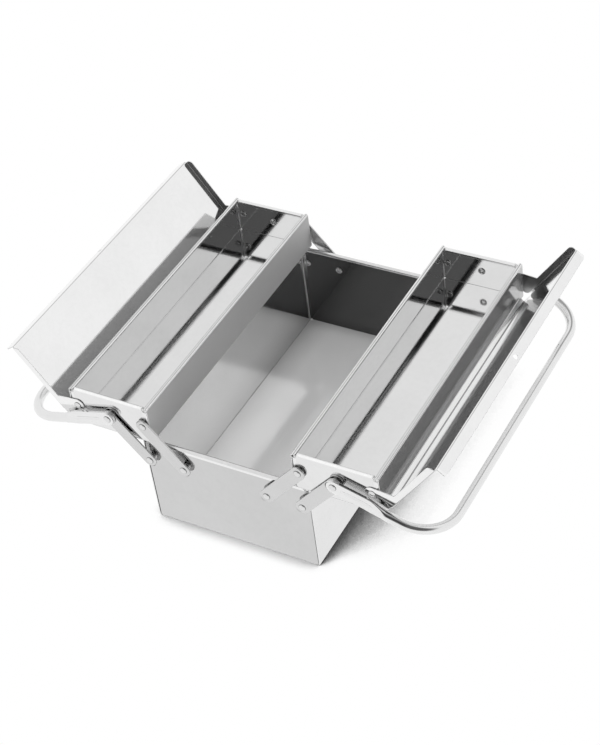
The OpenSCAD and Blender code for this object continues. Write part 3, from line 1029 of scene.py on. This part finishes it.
@dataclass(frozen=True)
class Lid:
    """A lid folded from one sheet, opened on its pins, on the right side.

    Lengths along it start at its pin and run towards its free edge, and heights stand square
    to the panel, away from the tray.

    Args:
        pin_x: Place of its pin across the box.
        pin_z: Height of its pin.
        pin_inset: How far the pin lies inside the tray's wall.
        pin_drop: How far the pin lies under the tray's rim.
        opening: Angle in degrees by which it has turned from level over the tray.
        air: Room between the tray's corner and the panel that swings over it.
        wall_gap: Room between the skirt and the tray's wall.
        front: Length from the pin to the standing edge.
        back: Length from the pin to the skirt, the other way.
        edge_height: Height of the standing edge over the panel.
        end_width: Width of the turned-down ends.
        end_depth: Distance of their middle from the box's middle.
        end_start: Length at which their fold begins.
        ear: Radius of the ear round the pin.
        heel: Radius of the round heel behind the ear.
        heel_back: Length at which the heel's middle lies.
        ear_end: Length at which the ear's edge meets the end's.
        tip: Radius of the end's corner at the standing edge.
        corner: Radius of the standing edge's corners.
        relief: Width of the openings beside the ears.
        corner_lines: Depths under the standing edge's top of the lines that round its corners.
        mid_line: Distance from the middle of a grid line across the panel.
        least: Least width of the end plate where its two edges meet.
        pin_hole: Radius of the pin's hole.
        lock_hole: Radius of the padlock's hole.
        lock_height: Height of the padlock's hole over the panel.
    """

    pin_x: float = 175.5
    pin_z: float = 141.0
    pin_inset: float = 8.5
    pin_drop: float = 21.8
    opening: float = 125.5
    air: float = 1.6
    wall_gap: float = 0.3
    front: float = 90.0
    back: float = 10.5
    edge_height: float = 11.5
    end_width: float = 8.0
    end_depth: float = 181.3
    end_start: float = 3.0
    ear: float = 8.0
    heel: float = 5.0
    heel_back: float = -4.4
    ear_end: float = 19.0
    tip: float = 5.0
    corner: float = 3.0
    relief: float = 12.0
    corner_lines: tuple[float, ...] = (0.7, 0.2, 0.0)
    mid_line: float = 90.0
    least: float = 0.02
    pin_hole: float = 2.55
    lock_hole: float = 2.9
    lock_height: float = 6.0
    sheet: Sheet = Sheet()

    @property
    def rise(self) -> float:
        """Height of the panel's outer face over the pin, which clears the corner of the tray."""
        return math.hypot(self.pin_inset, self.pin_drop) + self.air

    @property
    def skirt(self) -> float:
        """Depth of the skirt, which comes to rest against the tray's wall and holds the lid open."""
        lean = math.radians(180 - self.opening)
        return self.rise - (self.pin_inset + self.wall_gap + self.back * math.cos(lean)) / math.sin(lean)

    @property
    def axes(self) -> Array:
        """The lid's own directions: along it, along the box, and out of its panel."""
        a = math.radians(self.opening)
        return np.array([[-math.cos(a), 0, math.sin(a)], ALONG, [math.sin(a), 0, math.cos(a)]])

    def end_columns(self) -> Array:
        """Grid lines of a turned-down end, from its heel over the ear to the free end."""
        heel = self.heel_back - self.heel * np.cos(np.linspace(0, math.pi / 3, 5))
        before, beyond = [-7.0, -6.0, -4.6], [4.2, 5.4, 6.4, 7.2]
        onward = [9.0, 13.0, self.ear_end, 40.0, 62.0]
        last = self.front - self.sheet.fold_out
        tip = last - self.tip + self.tip * np.sin(np.linspace(0, math.pi / 2, 5))
        hole = Hole(0, 0, self.pin_hole)
        return np.concatenate([heel[heel < before[0] - 0.2], before, hole.stations(), beyond, onward, tip])

    def end_outline(self, columns: Array) -> tuple[Array, Array]:
        """Lower and upper edge of a turned-down end.

        The lower edge is the line that touches the heel and the ear, the ear's circle, the line
        from the ear to the knee, the level edge of the end, and at the tip a quarter circle.
        The upper edge is the heel's circle, and level from there.
        """
        low_end, top = self.rise - self.end_width, self.rise - self.sheet.fold_out
        heel = (self.heel_back, top - self.heel)
        away = math.hypot(*heel)
        square = math.atan2(heel[1], heel[0]) + math.acos((self.ear - self.heel) / away)
        aim = np.array([math.cos(square), math.sin(square)])
        touch = aim * self.ear
        back = (self.ear - columns * aim[0]) / aim[1]
        knee = (self.ear_end, low_end)
        bearing = math.atan2(knee[1], knee[0]) - math.acos(self.ear / math.hypot(*knee))
        leaves = self.ear * np.array([math.cos(bearing), math.sin(bearing)])
        circle = -np.sqrt(np.maximum(0, self.ear**2 - columns**2))
        low = np.interp(columns, [leaves[0], knee[0]], [leaves[1], knee[1]])
        low = np.where(columns < leaves[0], circle, low)
        low = np.where(columns < touch[0], back, low)
        last = self.front - self.sheet.fold_out
        tip = np.minimum(self.tip, np.maximum(0, columns - (last - self.tip)))
        low = np.where(columns > knee[0], low_end + self.tip - np.sqrt(self.tip**2 - tip**2), low)
        over = np.maximum(0, self.heel_back - columns)
        bow = np.sqrt(np.maximum(0, self.heel**2 - over**2))
        high = np.where(columns < self.heel_back, heel[1] + bow, top)
        low[0] = high[0]
        return np.minimum(low, high - self.least), high

    def surface(self) -> Surface:
        """Folds the panel, its standing edge, its skirt and its two ends, all of one sheet."""
        s = self.sheet
        half = self.end_depth + s.thickness / 2 - s.fold_out
        columns = self.end_columns()
        end_run = columns[columns >= self.end_start - NIL]
        lock = Hole(0, 0, self.lock_hole, reach=4.0)
        foot = self.rise + s.fold
        top = self.edge_height - np.array(self.corner_lines)
        levels = self.rise + np.concatenate([self.lock_height + lock.stations(), top])
        panel = np.concatenate([[-self.back + s.fold_out], end_run])
        runs: list[Straight | Bend] = [Straight(self.skirt - s.fold_out), Bend(s.mid_fold, -90)]
        runs += [*straights(panel), Bend(s.mid_fold, 90), *straights(np.concatenate([[foot], levels]))]
        start = (-self.back + s.thickness / 2, self.rise - self.skirt)
        path, normal = fold_path(start, 90, runs, outer=1)
        to_relief = half + s.fold_out - self.relief
        outer = np.array([self.mid_line, to_relief, half])
        along = np.concatenate([-outer[::-1], lock.stations(), outer])
        reach = np.full(len(path), half)
        over = np.maximum(0, path[:, 1] - (self.rise + self.edge_height - self.corner))
        standing = path[:, 1] > foot - HAIR
        drawn = self.corner - np.sqrt(np.maximum(0, self.corner**2 - over**2))
        reach = np.where(standing, half - drawn, reach)
        spread = np.where(np.abs(along) > half - HAIR, np.sign(along) * reach[:, None], along)
        local = grid_of(path[:, :1], spread, path[:, 1:])
        flat = grid_of(normal[:, :1], np.zeros(len(along)), normal[:, 1:])
        between = (path[:-1] + path[1:]) / 2
        centre = np.abs(along[:-1] + along[1:]) / 2
        cells = ~((between[:, :1] < self.end_start) & (centre > to_relief))
        window = np.abs(between[:, 1] - self.rise - self.lock_height) < lock.reach
        window &= between[:, 0] > self.front - s.thickness
        cells &= ~(window[:, None] & (centre < lock.reach))
        patches = [Patch(local, flat, cells)]

        ring = lock.ring() + [0, self.rise + self.lock_height]
        face = grid_of(self.front - s.thickness / 2, ring[..., 0], ring[..., 1])
        patches.append(Patch(face, np.broadcast_to(-ACROSS, face.shape)))

        turn = np.radians(np.linspace(0, 90, 9))
        arc_y, arc_z = s.mid_fold * np.sin(turn), s.mid_fold * np.cos(turn)
        bent = grid_of(end_run[:, None], half + arc_y, self.rise - s.fold_out + arc_z)
        bent_normal = grid_of(np.zeros((len(end_run), 1)), np.sin(turn), np.cos(turn))
        low, high = self.end_outline(columns)
        flats = plate(columns, low, high, [Hole(0, 0, self.pin_hole)])
        ends = stood_up(flats, self.end_depth * ALONG, ACROSS, UP, ALONG)
        for patch in [Patch(bent, bent_normal), *ends]:
            patches += [patch, patch.at_other_end()]
        whole = thick_sheet(patches, s.thickness)
        return whole.mapped(np.array([self.pin_x, 0, self.pin_z]), self.axes)


@dataclass(frozen=True)
class Handle:
    """A bent tube with flattened and creased ends, on the right side.

    Lengths start at its pins and run towards its bar, and widths stand square to its plane.

    Args:
        droop: Angle in degrees by which it hangs below level.
        bar: Distance of its bar's middle line from the pins.
        bend: Radius of its two bends, to the middle line.
        strap_depth: Distance of a strap's middle from the box's middle.
        tube_depth: The same for the round tube.
        plain: Length at which the strap's round end gives way to the tube.
        fine_to: Length up to which the grid is finer.
        coarse_from: Length from which it is coarser.
        lift_from: Length at which the tube begins to step out from the strap.
        flat_to: Length up to which it is flat.
        round_from: Length from which it is round.
        crease: Depth of the groove along a strap.
        crease_width: Half the groove's width, at e to the power -1 of its depth.
        crease_start: Lengths between which the groove comes in.
        crease_end: Lengths between which it runs out.
        edge: Radius of the strap's rounded edges.
        mid_line: Length of a grid line between the hole and the tube.
    """

    pin_x: float = 134.5
    pin_z: float = 139.5
    droop: float = 15.5
    bar: float = 121.0
    bend: float = 44.0
    tube: float = 5.25
    strap_depth: float = 186.0
    tube_depth: float = 188.5
    strap_width: float = 17.0
    strap_thickness: float = 3.4
    plain: float = 9.0
    fine_to: float = 44.0
    coarse_from: float = 45.5
    lift_from: float = 34.0
    flat_to: float = 40.0
    round_from: float = 62.0
    crease: float = 1.5
    crease_width: float = 1.7
    crease_start: tuple[float, float] = (8.0, 13.0)
    crease_end: tuple[float, float] = (40.0, 54.0)
    edge: float = 0.9
    mid_line: float = 5.0
    hole: float = 2.55

    def section(self) -> tuple[Array, Array]:
        """The flattened section and, point for point, the round one.

        Returns:
            Both n by 2: outward from the handle's plane of symmetry, and across the strap.
        """
        hole = Hole(0, 0, self.hole)
        half, thick, r = self.strap_width / 2, self.strap_thickness / 2, self.edge
        rows = np.concatenate([[r - half], hole.stations(), [half - r]])
        turn = np.radians([60.0, 30.0, 0.0, 0.0, -30.0, -60.0])
        level = np.array([1, 1, 1, -1, -1, -1]) * (thick - r)
        side = grid_of(level + r * np.sin(turn), half - r + r * np.cos(turn))
        outer, inner = grid_of(thick, rows), grid_of(-thick, rows[::-1])
        flat = np.concatenate([outer, side, inner, side[::-1] * [1, -1]])
        spans = ((-60, 60, len(rows)), (72, 108, 6), (120, 240, len(rows)), (252, 288, 6))
        angle = np.radians(np.concatenate([np.linspace(*span) for span in spans]))
        return flat, self.tube * grid_of(np.cos(angle), np.sin(angle))

    def tube_surface(self) -> Surface:
        """Carries the section from one strap round to the other.

        At each station the section is the flattened one blended by an eased share into the
        round one. The crease is a bell-shaped groove on the strap's outer face.
        """
        flat, rounded = self.section()
        corner = np.array([self.bar, self.tube_depth]) - self.bend
        finer = np.linspace(self.plain, self.fine_to, 16)
        leg = np.concatenate([finer, np.linspace(self.coarse_from, corner[0], 20)])
        turn = np.radians(np.linspace(0, 90, 25)[1:])
        bend = corner + self.bend * grid_of(np.sin(turn), np.cos(turn))
        bar = [[self.bar, corner[1] / 2], [self.bar, 0.0]]
        front = np.concatenate([grid_of(leg, self.tube_depth), bend, bar])
        heading = np.concatenate([np.zeros(len(leg)), turn, np.full(2, math.pi / 2)])
        ways = (front, grid_of(np.sin(heading), np.cos(heading)))
        path, outward = (np.concatenate([way * [1, -1], way[-2::-1]]) for way in ways)
        length, turned = (np.concatenate([row, row[-2::-1]]) for row in (front[:, 0], heading))
        share = np.where(turned > 0, 1, eased(length, self.flat_to, self.round_from))
        lift = np.where(turned > 0, 1, eased(length, self.lift_from, self.round_from))
        shape = flat * (1 - share)[:, None, None] + rounded * share[:, None, None]
        groove = np.interp(length, self.crease_start, (0, 1)) * np.interp(length, self.crease_end, (1, 0))
        groove = self.crease * (groove * (turned == 0))[:, None]
        bell = np.exp(-((shape[..., 1] / self.crease_width) ** 2)) * (shape[..., 0] > 0)
        step = (self.tube_depth - self.strap_depth) * (1 - lift)
        across = shape[..., 0] - groove * bell - step[:, None]
        place = path[:, None] + outward[:, None] * across[..., None]
        points = np.concatenate([place, shape[..., 1:]], axis=-1)
        return grid_surface(points, wrap_columns=True)

    def strap_surface(self) -> Surface:
        """The flat end round a pin, open where the tube runs on from it."""
        half = self.strap_width / 2
        hole = Hole(0, 0, self.hole)
        tip = round_end(half, hole.reach)[:-1]
        columns = np.concatenate([tip, hole.stations(), [self.mid_line, self.plain]])
        edge = np.sqrt(np.maximum(0, half**2 - np.minimum(columns, 0) ** 2))
        grids = plate(columns, -edge, edge, [hole])
        patches = stood_up(grids, -self.strap_depth * ALONG, ACROSS, UP, -ALONG)
        finish = SheetEdge(self.edge, 3, lambda p: p[:, 0] > self.plain - HAIR)
        return thick_sheet(patches, self.strap_thickness, finish)

    def surface(self) -> Surface:
        """Puts the tube and both straps together and lets the handle down to its droop."""
        strap = self.strap_surface()
        whole = joined([self.tube_surface(), strap, strap.mirrored(1)])
        first, group = welded_numbers(whole.points)
        whole = Surface(whole.points[first], group[whole.faces], whole.normals, whole.wear_and_shade[first])
        return whole.mapped(np.array([self.pin_x, 0, self.pin_z]), swung(-self.droop))


BLASTED_FLOOR = Zone(axis=2, near=-0.001, far=0.0012, tint=0.82, metal=0.28, roughness=0.09)
BLASTED_SIDE = Zone(axis=0, near=0.0850, far=0.0860, tint=0.5, metal=0.05, roughness=0.45)
# Painted shade: the trays' outer walls get a darker grey and less metal, standing in for the dark that
# these mirror walls reflect.
PAINTED_SHADE_OUTSIDE = Zone(axis=0, near=0.1835, far=0.1850, tint=0.57, metal=0.65, roughness=0.08)
# Painted shade: the base's end walls are drawn near black on their inner faces, standing in for the shade
# inside the box.
PAINTED_SHADE_INSIDE = Zone(axis=1, near=0.1760, far=0.1779, tint=0.11, metal=1.0, roughness=0.08)
# Painted highlight: the base's end walls are drawn lighter along their rims than on their faces.
PAINTED_HIGHLIGHT_RIM = Zone(axis=2, near=0.1106, far=0.1160, tint=0.86, metal=1.0, roughness=0.06)
# Painted light: the trays' end walls are drawn brighter than steel can reflect on their inner faces,
# standing in for a bright reflection.
PAINTED_LIGHT_INSIDE = Zone(axis=1, near=0.1785, far=0.1799, tint=1.25, metal=1.0, roughness=0.05)
# The inner faces of the lid's turned-down ends: rougher, which is their finish, and a dark grey, which is
# painted shade between the lid and the tray's end.
DULL_CHEEK_PAINTED_SHADE = Zone(axis=1, near=0.1795, far=0.1812, tint=0.35, metal=1.0, roughness=0.3)

BASE_SHEET = SteelFinish(
    "bright_base_sheet", tint=0.75, roughness=0.07, haze=0.03, grain=Grain.LENGTHWISE,
    zones=(BLASTED_FLOOR,),
)
# tint 0.6, darker than the trough's, is painted shade: the end walls stand in for the shaded floor near the
# box that they mirror.
BASE_PANEL = SteelFinish(
    "bright_base_panel", tint=0.6, roughness=0.07, haze=0.03, grain=Grain.ACROSS, ripple=0.00012,
    zones=(PAINTED_SHADE_INSIDE, PAINTED_HIGHLIGHT_RIM),
)
TRAY_SHEET = SteelFinish(
    "bright_tray_sheet", tint=0.73, roughness=0.06, haze=0.03, grain=Grain.LENGTHWISE,
    zones=(BLASTED_SIDE, PAINTED_SHADE_OUTSIDE),
)
TRAY_PANEL = SteelFinish(
    "bright_tray_panel", tint=0.77, roughness=0.06, haze=0.03, grain=Grain.ACROSS,
    zones=(PAINTED_LIGHT_INSIDE,),
)
LID_SHEET = SteelFinish(
    "bright_lid_sheet", tint=0.86, roughness=0.06, haze=0.03, grain=Grain.LENGTHWISE,
    zones=(DULL_CHEEK_PAINTED_SHADE,),
)
ARM_BAR = SteelFinish("polished_arm_bar", tint=0.64, roughness=0.16, haze=0.06)
# edge_tone 0.3 draws the rivets' marked feet and dimple rims dark: painted shade.
RIVET_HEAD = SteelFinish("polished_rivet", tint=0.72, roughness=0.12, haze=0.06, ripple=0.0, edge_tone=0.3)
HANDLE_TUBE = SteelFinish("polished_tube", tint=0.8, roughness=0.14, grain=Grain.LENGTHWISE, ripple=0.0)


def at_both_ends(front: list[Surface]) -> Surface:
    """The pieces of the front end and their mirror images at the rear."""
    return joined(front + [part.mirrored(1) for part in front])


@dataclass(frozen=True)
class Base:
    """The lower box: trough, two end panels, and the rivets and spacers of its eight arms."""

    width: float = 200.0
    length: float = 357.0
    height: float = 115.5
    pins: tuple[float, ...] = (-92.5, -50.5, 50.5, 92.5)
    pin_z: float = 91.0
    arm_inner: float = 182.0
    arm_outer: float = 184.0
    slide: float = 0.15

    def build(self) -> None:
        """Builds and dresses the base's pieces."""
        half, s = self.length / 2, self.slide
        inside = half - Sheet().thickness
        trough = Trough(self.width, self.length, self.height, (0, 0, 0)).surface()
        panel = EndPanel(self.width, self.height, half, (0, 0)).surface()
        rivets = [Rivet(x, self.pin_z, inside, self.arm_outer + s).surface() for x in self.pins]
        rings = [Spacer(x, self.pin_z, half, self.arm_inner - s).surface() for x in self.pins]
        parts = (
            ("sheet", trough, BASE_SHEET, "wrap", "sheet_steel"),
            ("front_wall", panel, BASE_PANEL, "front_panel", "sheet_steel"),
            ("rear_wall", panel.mirrored(1), BASE_PANEL, "rear_panel", "sheet_steel"),
            ("rivet_set", at_both_ends(rivets), RIVET_HEAD, "rivets", "rivet_steel"),
            ("spacer_set", at_both_ends(rings), RIVET_HEAD, "spacers", "rivet_steel"),
        )
        for name, surface, finish, node, slot in parts:
            Piece(f"base_{name}", surface, finish, f"base_{node}", "base", slot).build()


@dataclass(frozen=True)
class Arms:
    """The four arms of one side: an inner and an outer one at each end."""

    side: Side
    inner: Arm = Arm(50.5, 2.55)
    outer: Arm = Arm(92.5, 2.8)

    def build(self) -> None:
        """Builds and dresses the arms."""
        word = self.side.word
        for kind, arm in (("inner", self.inner), ("outer", self.outer)):
            placed, body = self.side.of(arm.surface()), f"{word}_{kind}_arms"
            for end in End:
                node = f"{word}_{kind}_arm_{end.word}"
                Piece(f"{node}_bar", end.of(placed), ARM_BAR, node, body, "arm_steel").build()


@dataclass(frozen=True)
class Tray:
    """An upper tray: trough, two end panels, its rivets and its spacers."""

    side: Side
    width: float = 98.5
    length: float = 361.0
    height: float = 47.0
    inner_x: float = 85.5
    low_z: float = 115.8
    inner_pin: float = 92.5
    outer_pin: float = 134.5
    lid_pin: float = 175.5
    pin_z: float = 139.5
    lid_pin_z: float = 141.0
    arm_inner: float = 182.0
    arm_outer: float = 184.0
    ear_outer: float = 181.8
    strap_outer: float = 187.7
    slide: float = 0.15

    def build(self) -> None:
        """Builds and dresses the tray's pieces."""
        half, middle, s = self.length / 2, self.inner_x + self.width / 2, self.slide
        inside = half - Sheet().thickness
        trough = Trough(self.width, self.length, self.height, (middle, 0, self.low_z)).surface()
        panel = EndPanel(self.width, self.height, half, (middle, self.low_z)).surface()
        pins = {
            "inner": Rivet(self.inner_pin, self.pin_z, inside, self.arm_outer + s),
            "outer": Rivet(self.outer_pin, self.pin_z, inside, self.strap_outer + s),
            "lid": Rivet(self.lid_pin, self.lid_pin_z, inside, self.ear_outer + s, head_height=1.4),
        }
        arm_pins = (self.inner_pin, self.outer_pin)
        rings = [Spacer(x, self.pin_z, half, self.arm_inner - s).surface() for x in arm_pins]
        parts = [
            ("tray_sheet", trough, TRAY_SHEET, "tray_wrap", "sheet_steel"),
            ("tray_front_wall", panel, TRAY_PANEL, "tray_front_panel", "sheet_steel"),
            ("tray_rear_wall", panel.mirrored(1), TRAY_PANEL, "tray_rear_panel", "sheet_steel"),
            ("tray_spacer_set", at_both_ends(rings), RIVET_HEAD, "tray_spacers", "rivet_steel"),
        ]
        for kind, rivet in pins.items():
            pair, stem = at_both_ends([rivet.surface()]), f"tray_{kind}_rivet"
            parts.append((f"{stem}_pair", pair, RIVET_HEAD, f"{stem}s", "rivet_steel"))
        word, put = self.side.word, self.side.of
        for name, surface, finish, node, slot in parts:
            Piece(f"{word}_{name}", put(surface), finish, f"{word}_{node}", f"{word}_tray", slot).build()


@dataclass(frozen=True)
class Cover:
    """The lid and the carrying handle of one side."""

    side: Side

    def build(self) -> None:
        """Builds and dresses the lid and the handle."""
        put = self.side.of
        lid, handle = (f"{self.side.word}_{kind}" for kind in ("lid", "handle"))
        Piece(f"{lid}_sheet", put(Lid().surface()), LID_SHEET, lid, lid, "lid_steel").build()
        Piece(f"{handle}_tube", put(Handle().surface()), HANDLE_TUBE, handle, handle, "tube_steel").build()


@dataclass(frozen=True)
class Studio:
    """The floor, the soft light and the camera.

    Args:
        floor_half: Half the floor's length, in metres.
        floor_drop: How far under the box it lies, so that their faces don't coincide.
        floor_tone: Grey of the floor's paper where it is lit.
        shade_tone: Grey of the paper in the box's shadow.
        from_light: Way to the light by which the shadow lies.
        shade_reach: Distance up to which the box shades the floor.
        foot_reach: The same for the darker line at its foot.
        sky_tone: Grey of the studio's white.
        dark_way: Way to the dark of the room, behind the camera.
        dark_share: How much darker it is there.
        gap_share: How much dimmer the gap overhead is.
        lens: Focal length of the camera, in millimetres on a frame 36 wide.
        stand: Place of the camera, in metres.
        aim: Its turns about X, Y and Z, in degrees.
    """

    floor_half: float = 7.0
    floor_drop: float = 0.0002
    floor_tone: float = 0.9
    shade_tone: float = 0.1
    from_light: tuple[float, float, float] = (-0.41, -0.9, 0.1)
    shade_reach: float = 0.12
    foot_reach: float = 0.03
    sky_tone: float = 0.97
    dark_way: tuple[float, float, float] = (0.416, -0.627, 0.658)
    dark_share: float = 0.88
    gap_share: float = 0.6
    lens: float = 84.928
    stand: tuple[float, float, float] = (0.80456, -1.22597, 1.37608)
    aim: tuple[float, float, float] = (48.55, 6.1767, 28.1244)

    def floor(self) -> None:
        """A plain pale floor, white to the eye and to bright metal where nothing shades it."""
        mesh = bpy.data.meshes.new("studio_floor")
        h = self.floor_half
        mesh.from_pydata([(-h, -h, 0), (h, -h, 0), (h, h, 0), (-h, h, 0)], [], [(0, 1, 2, 3)])
        made = bpy.data.objects.new("studio_floor", mesh)
        bpy.context.scene.collection.objects.link(made)
        made.location.z = -self.floor_drop
        material = bpy.data.materials.new("studio_floor_paper")
        material.use_nodes = True
        material.node_tree.nodes.clear()
        nodes = Nodes(material.node_tree)
        lean = nodes.value("ShaderNodeCombineXYZ", {}, dict(enumerate(self.from_light)))
        kind = "ShaderNodeAmbientOcclusion"
        clear = nodes.value(kind, {"samples": 16}, {"Distance": self.shade_reach, "Normal": lean}, "AO")
        close = nodes.value(kind, {"samples": 12}, {"Distance": self.foot_reach}, "AO")
        # Painted shadow: the paper's grey darkens where the box hides the floor, on top of the shadow that
        # the lamps cast.
        tone = nodes.blend(clear.between(0.62, 0.8), grey(self.shade_tone), grey(self.floor_tone))
        paper = nodes.add("ShaderNodeBsdfDiffuse", {}, {"Color": tone})
        path = nodes.add("ShaderNodeLightPath", {}, {})
        seen, mirrored = (Value(nodes, path.outputs[name]) for name in ("Is Camera Ray", "Is Glossy Ray"))
        white = nodes.add("ShaderNodeEmission", {}, {"Color": grey(1.0), "Strength": 1.0})
        share = seen * clear.between(0.7, 0.78) * close.between(0.5, 0.8)
        share = share + mirrored * close.between(0.1, 0.4)
        both = nodes.add("ShaderNodeMixShader", {}, {0: share, 1: paper.outputs[0], 2: white.outputs[0]})
        nodes.add("ShaderNodeOutputMaterial", {}, {"Surface": both.outputs[0]})
        mesh.materials.append(material)

    def sky(self) -> None:
        """A white studio, dark where the camera stands and dimmer in a gap overhead."""
        world = bpy.data.worlds.new("studio")
        bpy.context.scene.world = world
        world.use_nodes = True
        world.node_tree.nodes.clear()
        nodes = Nodes(world.node_tree)
        way = nodes.add("ShaderNodeTexCoord", {}, {}).outputs["Generated"]
        aim = tuple(unit(np.array(self.dark_way)))
        dot = {"operation": "DOT_PRODUCT"}
        facing = nodes.value("ShaderNodeVectorMath", dot, {0: way, 1: aim}, "Value")
        dark = facing.between(0.72, 0.90)
        across, up = (nodes.value("ShaderNodeSeparateXYZ", {}, {0: way}, axis) for axis in "XZ")
        aside = nodes.value("ShaderNodeMath", {"operation": "ABSOLUTE"}, {0: across})
        gap = aside.between(0.3, 0.14) * up.between(0.3, 0.5)
        tone = self.sky_tone * (1 - dark * self.dark_share) * (1 - gap * self.gap_share)
        shade = nodes.add("ShaderNodeCombineColor", {}, {0: tone, 1: tone, 2: tone})
        light = nodes.add("ShaderNodeBackground", {}, {"Color": shade.outputs[0], "Strength": 1.0})
        nodes.add("ShaderNodeOutputWorld", {}, {"Surface": light.outputs[0]})

    def lamp(self, name: str, place: tuple[float, float, float], size: float, watts: float) -> None:
        """A square soft lamp that faces the box's foot, and that bright metal doesn't mirror."""
        data = bpy.data.lights.new(name, "AREA")
        data.shape, data.size, data.energy = "SQUARE", size, watts
        made = bpy.data.objects.new(name, data)
        bpy.context.scene.collection.objects.link(made)
        made.location = place
        made.rotation_euler = made.location.to_track_quat("Z", "Y").to_euler()
        made.visible_glossy = False

    def camera(self) -> None:
        """The camera at the photograph's place, angle and lens."""
        data = bpy.data.cameras.new("view")
        data.lens, data.sensor_width, data.clip_start, data.clip_end = self.lens, 36.0, 0.05, 50.0
        made = bpy.data.objects.new("view", data)
        bpy.context.scene.collection.objects.link(made)
        made.location = self.stand
        made.rotation_euler = tuple(math.radians(a) for a in self.aim)
        bpy.context.scene.camera = made

    def build(self) -> None:
        """Sets up the floor, the light and the camera."""
        self.floor()
        self.sky()
        self.lamp("key_lamp", (-2.4, 0.2, 1.9), 1.2, 40.0)
        self.lamp("top_lamp", (0.05, 0.0, 2.3), 0.8, 24.0)
        self.camera()
        bpy.context.scene.view_settings.view_transform = "Standard"


def main() -> None:
    """Builds the studio and the tool box."""
    logging.basicConfig(level=logging.INFO, format="%(message)s")
    Studio().build()
    Base().build()
    for side in Side:
        Arms(side).build()
        Tray(side).build()
        Cover(side).build()


if __name__ == "__main__":
    main()
